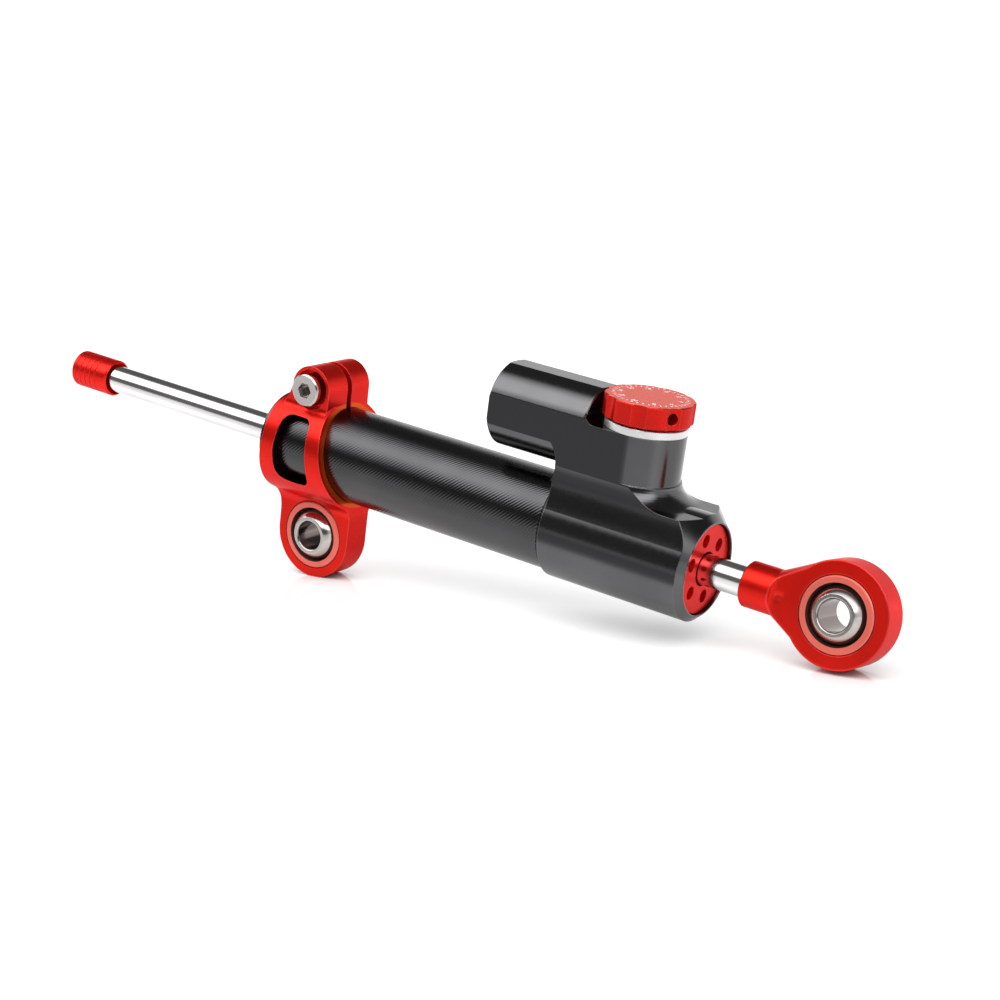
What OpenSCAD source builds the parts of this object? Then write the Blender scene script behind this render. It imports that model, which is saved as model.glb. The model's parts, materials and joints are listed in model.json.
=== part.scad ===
// Motorcycle steering damper, 75 mm stroke.
// An oil damper with a rod that passes right through it, a clamp round its tube,
// an eye on its rod, a small gas reservoir and a click adjuster.
// The row frame stands the damper on its two eyes. Its origin is the centre of the
// clamp's bearing, +Y runs along that bearing's bore, +X is level towards the rod's
// eye and +Z is up. Most pieces are drawn in the damper's own frame, where X is the
// rod's axis, x = 0 lies over the clamp's eye and Z points at the reservoir; stand()
// then sets them on the floor.

/* [Stroke] */
// Distance that the rod can still go in from the drawn position
stroke_in = 10; // [5:1:20]
// Distance that the rod can come out from the drawn position
stroke_out = 65; // [40:1:80]
// Oil space left beyond the piston at each end of the stroke
end_gap = 2; // [1.5:0.5:4]
// Gap left between the rod's eye and the front gland when the rod is fully in
neck_spare = 1.3; // [1:0.1:4]
// Gap left between the stop cap and the tube when the rod is fully out
cap_spare = 2.6; // [1:0.1:6]

/* [Rod and piston] */
// Diameter of the piston rod
rod_d = 8; // [7:0.5:9]
// Length of the piston
piston_len = 10; // [8:0.5:14]
// Width of the seal ring round the piston
piston_ring_w = 3; // [2:0.5:4]
// Length of the stop cap on the rod's tail
cap_len = 14.4; // [10:0.2:20]
// Outer diameter of the stop cap
cap_d = 10.8; // [10.4:0.1:13]
// Diameter of the open recess in the stop cap's face
cap_recess_d = 9.7; // [9.2:0.1:10]
// Number of grip grooves round the stop cap
cap_grooves = 5; // [3:1:7]

/* [Tube and glands] */
// Outer diameter of the damper tube
tube_d = 25.5; // [25:0.1:26]
// Bore of the damper tube and of the head
tube_bore = 22; // [21.6:0.1:22.4]
// Outer diameter of the inner liner
liner_d = 20; // [19.4:0.1:20.4]
// Bore of the inner liner, in which the piston runs
liner_bore = 17; // [16:0.1:17.6]
// Length of a gland from its outer face to the liner's end
gland_len = 19.7; // [18:0.1:26]
// Diameter of a gland's outer flange
gland_flange_d = 23.6; // [23.2:0.1:23.8]
// Thickness of a gland's outer flange
gland_flange_t = 3; // [2.5:0.1:4]
// Depth of a gland's face below the rim round it
gland_recess = 0.9; // [0.3:0.1:1.5]
// Number of pin-spanner holes in a gland
gland_holes = 6; // [4:1:8]
// Diameter of a pin-spanner hole
gland_hole_d = 3.5; // [2:0.1:3.8]
// Diameter of the circle on which the pin-spanner holes lie
gland_hole_circle = 15.4; // [15.2:0.1:17]
// Length of tube that stands behind the clamp's eye
tube_behind = 15.5; // [15:0.5:20]

/* [Head] */
// Diameter of the round part of the head
head_d = 27.8; // [27.4:0.1:28.4]
// Length of the head along the rod
head_len = 42.7; // [40:0.5:50]
// Length of the tube's screwed spigot in the head
spigot_len = 10; // [8:0.5:12]
// Distance from the head's front face back to the adjuster's axis
col_back = 23.05; // [22:0.5:26]
// Radius of the round column under the adjuster
col_r = 10.6; // [10.2:0.1:11]
// Height of the deck under the adjuster above the rod's axis
deck_z = 30.5; // [29.5:0.5:34]
// Height of the flat on the head's nose above the rod's axis
nose_flat_z = 13.5; // [13:0.1:13.7]
// Radius of the fillet between the column and the nose flat
column_fillet = 6; // [4:0.5:7]
// Half width of the waist between the round head and the column
waist_half = 10.4; // [9.8:0.1:10.5]
// Height of the narrowest part of the waist above the rod's axis
waist_z = 15; // [14.5:0.1:16]

/* [Reservoir] */
// Radius of the reservoir
res_r = 11.4; // [11:0.1:12]
// Height of the reservoir's axis above the rod's axis
res_z = 27.57; // [27:0.1:29]
// Length of the reservoir
res_len = 28.8; // [26:0.2:40]
// Width of the gap between the reservoir's end wall and the column
res_back = 1.05; // [1:0.05:3]
// Bore of the reservoir
res_bore = 17.2; // [15:0.2:17.6]
// Length of the plug that closes the reservoir
plug_len = 6; // [5:0.2:8]
// Length of the floating piston
floater_len = 7; // [5:0.5:8]
// Distance that the floating piston can move each way
floater_travel = 3.5; // [2:0.1:4]

/* [Adjuster] */
// Outer diameter of the adjuster knob
knob_d = 22.94; // [22:0.1:24]
// Height of the knob's rim
knob_h = 5.75; // [5:0.25:8]
// Gap between the silver ring and the knob
knob_gap = 0.65; // [0.3:0.05:1.5]
// Number of finger scallops round the knob
scallops = 8; // [6:1:12]
// Thickness of the silver ring under the knob
dial_ring_t = 2; // [1.5:0.1:3]
// Diameter of the set screw in the knob
set_screw_d = 3; // [2.5:0.1:3.4]
// Number of clicks in a full turn
clicks = 20; // [12:1:30]
// Turn of the knob each way from the drawn position
knob_turn = 150; // [90:10:170]
// Pitch of the needle's thread
needle_pitch = 1.5; // [0.8:0.1:1.6]

/* [Bearings] */
// Bore of both spherical bearings
bore_d = 8; // [6:0.5:8.5]
// Diameter of a bearing's ball
ball_d = 15.875; // [15.4:0.1:16.2]
// Width of a bearing's ball
ball_w = 12; // [11:0.5:12.5]
// Outer diameter of a bearing's race
race_d = 19; // [18.6:0.1:19.6]
// Width of a bearing's race
race_w = 9; // [8.4:0.1:9.4]
// Diameter of the opening in a race's face
race_open_d = 15.6; // [15:0.1:16]

/* [Eyes] */
// Height of the rod's axis over the clamp's bearing
eye_drop = 24.85; // [24.6:0.05:28]
// Outer radius of the clamp's eye
clamp_eye_r = 12.2; // [11.6:0.1:14]
// Half thickness of both eyes
eye_half = 4.2; // [4:0.1:4.5]
// Outer radius of the rod's eye
rod_eye_r = 13.25; // [12:0.25:15]
// Distance from the rod eye's centre back to its neck's face
neck_len = 25.5; // [24:0.5:34]
// Diameter of the rod eye's round neck
neck_d = 11.7; // [11:0.1:12.6]
// Angle by which the rod's eye is turned round the rod
rod_eye_turn = 8.5; // [0:0.5:20]

/* [Clamp] */
// Wall of the clamp's ring round the tube
clamp_wall = 2.45; // [2:0.05:3.2]
// Height of the clamp screw above the rod's axis
ear_z = 17.7; // [17:0.1:20]
// Radius of the clamp's ears
ear_r = 6.4; // [6.2:0.1:7.4]
// Distance from the clamp's split to the front ear's face
ear_front = 9.2; // [9:0.1:11]
// Distance from the clamp's split to the rear ear's face
ear_rear = 8.5; // [8:0.1:10]
// Width of the clamp's split
split_w = 2; // [1:0.1:2.6]
// Diameter of the clamp screw's shank
screw_d = 5; // [4:0.5:5.5]
// Diameter of the clamp screw's head
screw_head_d = 9; // [8:0.1:9.4]
// Height of the clamp screw's head
screw_head_h = 5; // [4:0.5:6]

/* [Hidden] */
$fn = 96;
eps = 0.01;

// Clearances
fixed_fit = 0.03;   // radial gap of pieces that are screwed or pushed together
running_fit = 0.04; // radial gap of pieces that turn or slide in one another
side_gap = 0.05;    // gap beside a ring in its groove
edge = 0.4;         // small chamfer on turned edges

// Colours as the photograph shows them
anodised_red = [0.80, 0.10, 0.07];
race_red = [0.90, 0.36, 0.30];
anodised_black = [0.10, 0.10, 0.11];
chrome = [0.82, 0.82, 0.84];
steel = [0.62, 0.60, 0.58];
bright_ring = [0.88, 0.88, 0.88];
brass_colour = [0.78, 0.62, 0.30];
rubber_black = [0.05, 0.05, 0.05];
plastic_white = [0.85, 0.84, 0.80];

// Radii that many pieces share
rod_r = rod_d / 2;
tube_r = tube_d / 2;
bore_r = tube_bore / 2;
liner_r = liner_d / 2;
piston_bore_r = liner_bore / 2;
head_r = head_d / 2;
flange_r = gland_flange_d / 2;

// Places along the rod's axis, from the clamp's eye
chamber_len = stroke_in + stroke_out + piston_len + 2 * end_gap;
gland_spigot = 3;
x_rear = -tube_behind;
x_chamber = x_rear + gland_recess + gland_len + gland_spigot;
x_chamber_end = x_chamber + chamber_len;
x_front = x_chamber_end + gland_spigot + gland_len + gland_recess;
x_head = x_front - head_len;
x_piston = x_chamber + end_gap + stroke_in;
x_neck = x_front + stroke_in + neck_spare;
x_eye = x_neck + neck_len;
x_cap = x_rear - stroke_out - cap_spare;
x_col = x_front - col_back;
x_res_end = x_col - col_r - res_back;
x_res = x_res_end - res_len;

// Gland, from its outer face inwards
lip_len = 1.2;
wiper_w = 2.5;
wiper_r = rod_r + 1.6;
seal_at = 5.2;
seal_w = 3;
bush_at = 9.6;
bush_len = gland_len - bush_at;
bush_wall = 1;
oring_groove_at = 12;
oring_r = 0.7;
oring_groove_w = 2;
oring_groove_t = 2 * oring_r + 0.05;
gland_hole_depth = 2.5;
gland_hole_start = 41.7;

// Head
spigot_r = bore_r + 1.3;
spigot_gap = 1.2;
nose_r = flange_r + 0.4;
waist_sink = 0.02; // how far the waist's curve starts inside the round head
waist_from = head_r - waist_sink;
waist_fillet = (pow(waist_z, 2) - (pow(waist_from, 2) - pow(waist_half, 2))) / (2 * (waist_from - waist_half));
waist_foot = waist_z * waist_from / (waist_from + waist_fillet);
fillet_step = 0.25;
crease_z = nose_flat_z + 4.8;
notch_r = 8.8;
notch_z = 17.5;
notch_reach = 1.35;
x_notch = x_head + notch_reach - notch_r;
web_back = 2.8;
deck_fillet = 2.5;
annulus_port_back = 9.65; // how far the port down to the annulus lies behind the column's axis
key_above_seat = 4.5; // where the needle's key slot starts
ring_fit = 0.1; // gap round the silver ring where the corner's fillet is cut for it

// Reservoir
res_bore_r = res_bore / 2;
res_top = res_z + res_r - 0.47;
res_floor = x_res_end - 3;
plug_back = 1;
x_plug = x_res + plug_back;
circlip_t = 0.8;
circlip_out = 0.7;
x_floater = x_plug + plug_len + floater_travel + 0.4;
fill_screw_d = 4;
fill_seat_t = 2.2;
plug_groove_at = plug_len - 3;
fill_head_r = fill_screw_d / 2 + 1.5;
fill_head_t = 1.9;
port_r = 1;
port_z = res_z - res_bore_r + 1.25;

// Adjuster, heights above the rod's axis
spindle_bore_r = 5;
spindle_flat = 0.35; // depth of the flat that the set screw bears on
needle_thread_len = 4.8;
spindle_clip_out = 0.5;
spindle_floor = deck_z - 5.3;
spindle_top = deck_z - 2.2;
spindle_r = 2.5;
needle_bore_r = 3;
seat_r = 2.5;
seat_h = 2.5;
seat_top = spindle_floor - 8.7;
orifice_r = 1;
needle_r = 1.5;
needle_stem_r = 1.6;
needle_collar_h = 1.3;
needle_collar_z = seat_top + 6.2;
needle_travel = needle_pitch * knob_turn / 360;
tip_r = 0.5;
tip_h = 2.4;
tip_slope = (needle_r - tip_r) / tip_h;
tip_z = seat_top - (orifice_r - running_fit - tip_r) / tip_slope + needle_travel;
key_w = 1.2;
knob_r = knob_d / 2;
knob_z = deck_z + dial_ring_t + knob_gap;
knob_top = knob_z + knob_h;
knob_floor_t = 1.9;
ring_inner_r = 8.8;
boss_r = 8.4;
boss_z = deck_z + 1.4;
scallop_r = 4;
scallop_depth = 0.7;
set_screw_angle = -28;
set_screw_z = knob_z + 2.85;
set_screw_len = 4;
ball_place_r = 6.9;
detent_ball_r = 1.2;
detent_ball_z = boss_z - 0.75;
detent_hole_depth = 5;

// Stop cap
cap_recess = 3;
cap_wall_end = 2;
cap_groove_w = 0.5;
cap_groove_t = 0.25;

// Rod eye: a cone from the neck touches the eye's rim
neck_r = neck_d / 2;
neck_hole_len = 11.5;
cone_tilt = 28.4;
flat_start = neck_len - 9.7;
flat_fillet = 1.75;

// Bearings
ball_r = ball_d / 2;
race_r = race_d / 2;
seat_clear = 0.05;
bore_r_ball = bore_d / 2;
bore_chamfer = 0.35;

// Clamp
ring_bore = tube_r + running_fit;
ring_r = ring_bore + clamp_wall;
ear_x = -1.7;
ear_floor = 7;
counterbore_r = screw_head_d / 2 + 1;
race_fillet = 4;
race_land = 0.7;
fillet_sink = 0.02; // how far an ear's fillet runs into the ring
ear_fillet = 3;

// The damper's tilt when both eyes stand on one level floor. The rod's eye is turned
// a little round the rod, so its lowest point is on an edge of its rim.
function eye_reach(t) = eye_half * cos(t) * sin(rod_eye_turn)
    + rod_eye_r * sqrt(1 - pow(cos(t) * sin(rod_eye_turn), 2));
function tilt_for(t, n) = n == 0 ? t
    : tilt_for(asin((eye_drop * cos(t) + clamp_eye_r - eye_reach(t)) / x_eye), n - 1);
stand_tilt = tilt_for(8, 12);

// Points of an arc from angle a to angle b
function arc(centre, r, a, b, steps) =
    [for (i = [0 : steps]) centre + r * [cos(a + (b - a) * i / steps), sin(a + (b - a) * i / steps)]];

// A run of points with its inner corners rounded by the given radii
function rounded(points, radii) = concat([points[0]],
    [for (i = [1 : len(points) - 2]) each corner(points[i - 1], points[i], points[i + 1], radii[i - 1])],
    [points[len(points) - 1]]);

// One rounded corner at b between the lines to a and c
function corner(a, b, c, r) =
    let (u = (a - b) / norm(a - b), v = (c - b) / norm(c - b),
        half = acos(u * v) / 2,
        centre = b + (u + v) / norm(u + v) * r / sin(half),
        p = b + u * r / tan(half) - centre, q = b + v * r / tan(half) - centre,
        start = atan2(p[1], p[0]), turn = atan2(q[1], q[0]) - start,
        sweep = turn > 180 ? turn - 360 : turn < -180 ? turn + 360 : turn)
    arc(centre, r, start, start + sweep, max(3, ceil(abs(sweep) / 9)));

// Damper frame to row frame
module stand() {
    rotate([0, stand_tilt, 0]) translate([0, 0, eye_drop]) children();
}

// Turns a shape drawn up the Z axis so that it runs along +X from x
module along_x(x) {
    translate([x, 0, 0]) rotate([0, 90, 0]) children();
}

// Turns a shape drawn in the plane of X and Z, with thickness up Z, so that it lies
// along Y between two places
module across_y(y0, y1) {
    translate([0, y1, 0]) rotate([90, 0, 0]) linear_extrude(y1 - y0) children();
}

// A turned sleeve
module sleeve(length, outer_r, inner_r) {
    difference() {
        cylinder(h = length, r = outer_r);
        translate([0, 0, -eps]) cylinder(h = length + 2 * eps, r = inner_r);
    }
}

// A rubber ring of round section
module o_ring(mid_r, cord_r) {
    rotate_extrude() translate([mid_r, 0]) circle(r = cord_r, $fn = 32);
}

// A bar with its ends chamfered
module chamfered_bar(length, r, chamfer) {
    rotate_extrude()
        polygon([[0, 0], [r - chamfer, 0], [r, chamfer], [r, length - chamfer],
            [r - chamfer, length], [0, length]]);
}

// A hexagonal socket, by its width across flats
module hex_socket(flats, depth) {
    cylinder(h = depth, r = flats / sqrt(3), $fn = 6);
}

// Tube and liner

module damper_tube() {
    color(anodised_black) stand() along_x(x_rear) difference() {
        union() {
            chamfered_bar(x_head - x_rear, tube_r, edge);
            translate([0, 0, x_head - x_rear - 2 * edge])
                cylinder(h = spigot_len - spigot_gap + 2 * edge, r = spigot_r);
        }
        translate([0, 0, -eps]) cylinder(h = x_head - x_rear + spigot_len, r = bore_r);
        translate([0, 0, -eps])
            cylinder(h = gland_recess + gland_flange_t + eps, r = flange_r + fixed_fit);
    }
}

module inner_liner() {
    liner_len = chamber_len + 2 * gland_spigot;
    hole_at = gland_spigot + 1.2;
    groove_at = x_col - 5.4 - (x_chamber - gland_spigot);
    color(steel) stand() along_x(x_chamber - gland_spigot) difference() {
        sleeve(liner_len, liner_r, piston_bore_r);
        for (z = [hole_at, liner_len - hole_at], a = [0 : 90 : 270])
            translate([0, 0, z]) rotate([0, 90, a]) cylinder(h = liner_r + 1, r = 0.9);
        translate([0, 0, groove_at - 1]) sleeve(2, liner_r + 1, liner_r - 0.6);
    }
}

module liner_oring() {
    cord = (bore_r - liner_r + 0.6) / 2 - 0.01;
    color(rubber_black) stand() along_x(x_col - 5.4) o_ring(liner_r - 0.6 + cord + 0.01, cord);
}

// Glands: one at each end of the tube, with the rod's bush, seal and wiper

module gland() {
    difference() {
        union() {
            rotate_extrude() polygon([[0, 0], [flange_r - 0.3, 0], [flange_r, 0.3],
                [flange_r, gland_flange_t], [0, gland_flange_t]]);
            cylinder(h = gland_len, r = bore_r - fixed_fit);
            cylinder(h = gland_len + gland_spigot, r = piston_bore_r - fixed_fit);
        }
        translate([0, 0, -eps]) cylinder(h = gland_len + gland_spigot + 2 * eps, r = rod_r + 0.35);
        translate([0, 0, -eps]) cylinder(h = lip_len + eps, r = rod_r + 0.5);
        translate([0, 0, lip_len]) cylinder(h = wiper_w, r = wiper_r);
        translate([0, 0, seal_at]) cylinder(h = seal_w, r = rod_r + 2.5);
        translate([0, 0, bush_at]) cylinder(h = bush_len, r = rod_r + bush_wall + fixed_fit);
        translate([0, 0, oring_groove_at]) sleeve(oring_groove_w, bore_r + 1, bore_r - oring_groove_t);
        for (i = [0 : gland_holes - 1]) rotate(gland_hole_start + i * 360 / gland_holes)
            translate([gland_hole_circle / 2, 0, -eps])
                cylinder(h = gland_hole_depth, r = gland_hole_d / 2, $fn = 48);
    }
}

// Sets a gland, drawn from its outer face, at the front or the rear end
module at_front() {
    stand() translate([x_front - gland_recess, 0, 0]) rotate([0, -90, 0]) mirror([0, 1, 0]) rotate(90)
        children();
}

module at_rear() {
    stand() along_x(x_rear + gland_recess) children();
}

module gland_bush() {
    translate([0, 0, bush_at]) sleeve(bush_len, rod_r + bush_wall, rod_r + running_fit);
}

module gland_seal() {
    translate([0, 0, seal_at + side_gap])
        sleeve(seal_w - 2 * side_gap, rod_r + 2.5 - fixed_fit, rod_r + running_fit);
}

module gland_wiper() {
    translate([0, 0, lip_len + side_gap]) rotate_extrude() polygon([
        [rod_r + running_fit, 0.3], [rod_r + 0.45, 0], [wiper_r - fixed_fit, 0],
        [wiper_r - fixed_fit, wiper_w - 2 * side_gap], [rod_r + 0.9, wiper_w - 2 * side_gap],
        [rod_r + running_fit, 1.1]]);
}

module gland_oring() {
    translate([0, 0, oring_groove_at + oring_groove_w / 2]) o_ring(bore_r - oring_r - 0.02, oring_r);
}

module front_gland() { color(anodised_red) at_front() gland(); }
module front_bush() { color(brass_colour) at_front() gland_bush(); }
module front_rod_seal() { color(rubber_black) at_front() gland_seal(); }
module front_wiper() { color(rubber_black) at_front() gland_wiper(); }
module front_gland_oring() { color(rubber_black) at_front() gland_oring(); }
module rear_gland() { color(anodised_black) at_rear() gland(); }
module rear_bush() { color(brass_colour) at_rear() gland_bush(); }
module rear_rod_seal() { color(rubber_black) at_rear() gland_seal(); }
module rear_wiper() { color(rubber_black) at_rear() gland_wiper(); }
module rear_gland_oring() { color(rubber_black) at_rear() gland_oring(); }

// Head: round nose, waist, column and reservoir milled from one block

// The head's outline seen along the rod, from the foot of its waist up to the height
// top. The round head is below it.
module head_section(top) {
    difference() {
        union() {
            translate([-col_r, 0]) square([2 * col_r, top]);
            translate([-head_r, waist_foot]) square([2 * head_r, min(waist_z, top) - waist_foot]);
        }
        for (side = [-1, 1]) translate([side * (waist_half + waist_fillet), waist_z])
            circle(r = waist_fillet, $fn = 360);
    }
}

// The same outline as a bar along the rod from x to x2
module head_bar(x, x2, top) {
    translate([x, 0, 0]) rotate([90, 0, 90]) linear_extrude(x2 - x) head_section(top);
}

module column_body() {
    foot_r = col_r + fillet_step + column_fillet;
    foot_z = nose_flat_z + column_fillet;
    crease_r = foot_r - sqrt(pow(column_fillet, 2) - pow(foot_z - crease_z, 2));
    crease_a = 180 + asin((foot_z - crease_z) / column_fillet);
    translate([x_col, 0, 0]) {
        cylinder(h = deck_z, r = col_r);
        rotate_extrude() polygon(concat([[0, 0], [foot_r, 0]],
            arc([foot_r, foot_z], column_fillet, 270, crease_a, 12),
            [[crease_r, crease_z], [0, crease_z]]));
    }
}

module head_body() {
    color(anodised_black) stand() difference() {
        head_shell();
        head_holes();
    }
}

module head_shell() {
    difference() {
        union() {
            along_x(x_head) rotate_extrude() polygon([[0, 0], [head_r - 1, 0], [head_r, 1],
                [head_r, head_len], [0, head_len]]);
            head_bar(x_head + 1, x_front, nose_flat_z);
            intersection() {
                column_body();
                head_bar(x_col, x_front, deck_z);
            }
            web();
            intersection() {
                translate([0, 0, res_z]) along_x(x_res) chamfered_bar(res_len, res_r, edge);
                translate([x_res, -col_r, 0]) cube([res_len, 2 * col_r, res_top]);
            }
            deck_corner();
        }
        // The nose's cone
        along_x(x_front) rotate_extrude() polygon([[nose_r, 0], [nose_r + 9, -9],
            [nose_r + 12, -9], [nose_r + 12, 1], [nose_r, 1]]);
    }
}

// Web that joins the reservoir to the head, with the milled notch at its rear end
module web() {
    difference() {
        union() {
            head_bar(x_head + 1, x_col, deck_z);
            intersection() {
                head_bar(x_head - web_back, x_head + 2, deck_z);
                translate([x_head - web_back, -head_r, head_r - 0.3])
                    cube([web_back + 2, 2 * head_r, deck_z]);
            }
        }
        translate([x_notch, 0, notch_z]) rotate([90, 0, 0])
            cylinder(h = 4 * head_r, r = notch_r, center = true);
    }
}

// Fillet between the reservoir's end wall and the deck
module deck_corner() {
    difference() {
        translate([x_res_end - eps, -col_r, deck_z - eps])
            cube([deck_fillet, 2 * col_r, deck_fillet]);
        translate([x_res_end + deck_fillet, 0, deck_z + deck_fillet]) rotate([90, 0, 0])
            cylinder(h = 4 * col_r, r = deck_fillet, center = true);
        translate([x_col, 0, deck_z]) cylinder(h = 2 * deck_fillet, r = col_r + ring_fit);
    }
}

module head_holes() {
    // Main bore with the tube's thread and the gland's seat
    along_x(x_head - eps) cylinder(h = head_len + 2 * eps, r = bore_r);
    along_x(x_head - eps) cylinder(h = spigot_len + eps, r = spigot_r + fixed_fit);
    along_x(x_front - gland_recess - gland_flange_t)
        cylinder(h = gland_recess + gland_flange_t + eps, r = flange_r + fixed_fit);
    // Reservoir bore with its circlip groove
    translate([0, 0, res_z]) {
        along_x(x_res - eps) cylinder(h = res_floor - x_res, r = res_bore_r);
        along_x(x_plug - circlip_t - side_gap)
            cylinder(h = circlip_t + side_gap, r = res_bore_r + circlip_out);
    }
    // Adjuster bores, from the deck down to the oil round the liner
    translate([x_col, 0, 0]) {
        translate([0, 0, spindle_floor]) cylinder(h = deck_z, r = spindle_bore_r);
        translate([0, 0, spindle_top])
            cylinder(h = circlip_t + side_gap, r = spindle_bore_r + spindle_clip_out);
        translate([0, 0, seat_top]) cylinder(h = spindle_floor, r = needle_bore_r);
        translate([0, 0, seat_top - seat_h]) cylinder(h = seat_h + 1, r = seat_r);
        translate([0, 0, bore_r - 1]) cylinder(h = seat_top - bore_r, r = port_r);
        translate([0, -key_w / 2, seat_top + key_above_seat])
            cube([needle_bore_r + 1, key_w, spindle_floor - seat_top]);
        // Hole for the detent spring and ball
        rotate(90) translate([ball_place_r, 0, deck_z - detent_hole_depth])
            cylinder(h = detent_hole_depth + 1, r = detent_ball_r + running_fit);
    }
    // Port from the reservoir to the needle, and the port down to the annulus
    translate([0, 0, port_z]) along_x(res_floor - 1) cylinder(h = x_col - res_floor, r = port_r);
    translate([x_col - annulus_port_back, 0, bore_r - 1]) cylinder(h = port_z - bore_r + 1, r = port_r);
}

module head_oring() {
    color(rubber_black) stand() along_x(x_head + spigot_len - spigot_gap / 2)
        o_ring((bore_r + spigot_r) / 2 + 0.05, spigot_gap / 2 - 0.01);
}

// Reservoir pieces

module at_reservoir(x) {
    stand() translate([0, 0, res_z]) along_x(x) children();
}

module reservoir_plug() {
    color(anodised_black) at_reservoir(x_plug) difference() {
        chamfered_bar(plug_len, res_bore_r - fixed_fit, 0.3);
        translate([0, 0, -eps]) cylinder(h = plug_len + 1, r = fill_screw_d / 2 + fixed_fit);
        translate([0, 0, -eps]) cylinder(h = fill_seat_t, r = fill_head_r + 0.3);
        translate([0, 0, plug_groove_at]) sleeve(oring_groove_w, res_bore_r + 1, res_bore_r - oring_groove_t);
    }
}

module plug_oring() {
    color(rubber_black) at_reservoir(x_plug + plug_groove_at + oring_groove_w / 2) o_ring(res_bore_r - oring_r - 0.02, oring_r);
}

module plug_circlip() {
    color(steel) at_reservoir(x_plug - circlip_t) circlip(res_bore_r + circlip_out - fixed_fit,
        res_bore_r - 1.3, circlip_t);
}

// An inside circlip: an open ring with a gap between its ends
module circlip(outer_r, inner_r, thickness) {
    difference() {
        sleeve(thickness, outer_r, inner_r);
        translate([0, -outer_r * 0.18, -eps]) cube([outer_r * 2, outer_r * 0.36, thickness + 2 * eps]);
    }
}

module fill_screw() {
    color(steel) at_reservoir(x_plug) difference() {
        union() {
            translate([0, 0, 0.2]) cylinder(h = fill_head_t, r = fill_head_r);
            translate([0, 0, 0.2]) cylinder(h = plug_len - 1, r = fill_screw_d / 2);
        }
        translate([0, 0, 0.2 - eps]) hex_socket(2.5, 1.6);
    }
}

module floating_piston() {
    color(anodised_black) at_reservoir(x_floater) difference() {
        chamfered_bar(floater_len, res_bore_r - running_fit - 0.02, 0.3);
        translate([0, 0, floater_len / 2 - oring_groove_w / 2])
            sleeve(oring_groove_w, res_bore_r + 1, res_bore_r - oring_groove_t);
        translate([0, 0, floater_len - 2]) cylinder(h = 3, r = res_bore_r - 3.5);
    }
}

module floating_piston_oring() {
    color(rubber_black) at_reservoir(x_floater + floater_len / 2)
        o_ring(res_bore_r - oring_r - running_fit / 2, oring_r - running_fit / 2);
}

// Adjuster

module at_column(z) {
    stand() translate([x_col, 0, z]) children();
}

module dial_ring() {
    color(bright_ring) at_column(deck_z) difference() {
        chamfered_bar(dial_ring_t, col_r, 0.15);
        translate([0, 0, -eps]) cylinder(h = dial_ring_t + 1, r = ring_inner_r);
    }
}

module adjuster_knob() {
    boss_h = knob_z - boss_z;
    color(anodised_red) at_column(knob_z) difference() {
        union() {
            chamfered_bar(knob_h, knob_r, 0.35);
            translate([0, 0, -boss_h]) cylinder(h = boss_h + eps, r = boss_r);
        }
        // Finger scallops
        for (i = [0 : scallops - 1]) rotate(set_screw_angle + i * 360 / scallops)
            translate([knob_r + scallop_r - scallop_depth, 0, -eps])
                cylinder(h = knob_h + 2 * eps, r = scallop_r);
        // Spindle bore and set screw hole
        translate([0, 0, -boss_h - eps])
            cylinder(h = boss_h + knob_h - knob_floor_t, r = spindle_r + fixed_fit);
        translate([0, 0, set_screw_z - knob_z]) rotate([0, 90, set_screw_angle])
            cylinder(h = knob_r + 1, r = set_screw_d / 2 + fixed_fit);
        // Detent track with one dimple for each click
        translate([0, 0, detent_ball_z - knob_z]) {
            rotate_extrude() translate([ball_place_r, 0]) circle(r = detent_ball_r + 0.05, $fn = 48);
            for (i = [0 : clicks - 1]) rotate(90 + i * 360 / clicks)
                translate([ball_place_r, 0, 0.1]) sphere(r = detent_ball_r + 0.1, $fn = 32);
        }
    }
}

module knob_set_screw() {
    color(steel) at_column(set_screw_z) rotate([0, 90, set_screw_angle]) difference() {
        translate([0, 0, spindle_r - spindle_flat + side_gap]) chamfered_bar(set_screw_len, set_screw_d / 2, 0.2);
        translate([0, 0, spindle_r - spindle_flat + set_screw_len - 1.4]) hex_socket(1.5, 2);
    }
}

module adjuster_spindle() {
    collar_r = spindle_bore_r - running_fit;
    collar_z = spindle_floor + side_gap;
    groove_z = (spindle_floor + spindle_top) / 2 - oring_groove_w / 2;
    color(steel) at_column(0) difference() {
        union() {
            translate([0, 0, collar_z]) cylinder(h = spindle_top - side_gap - collar_z, r = collar_r);
            translate([0, 0, collar_z])
                cylinder(h = knob_top - knob_floor_t - side_gap - collar_z, r = spindle_r);
        }
        // Thread for the needle
        translate([0, 0, collar_z - eps]) cylinder(h = needle_thread_len, r = needle_stem_r + running_fit);
        translate([0, 0, groove_z])
            sleeve(oring_groove_w, spindle_bore_r + 1, spindle_bore_r - oring_groove_t);
        // Flat for the set screw
        rotate(set_screw_angle) translate([spindle_r - spindle_flat, -spindle_r, set_screw_z - 2])
            cube([spindle_r, 2 * spindle_r, knob_top]);
    }
}

module spindle_oring() {
    color(rubber_black) at_column((spindle_floor + spindle_top) / 2)
        o_ring(spindle_bore_r - oring_r - running_fit / 2, oring_r - running_fit / 2);
}

module spindle_circlip() {
    color(steel) at_column(spindle_top + side_gap / 2)
        circlip(spindle_bore_r + spindle_clip_out - fixed_fit, spindle_r + 0.6, circlip_t);
}

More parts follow.
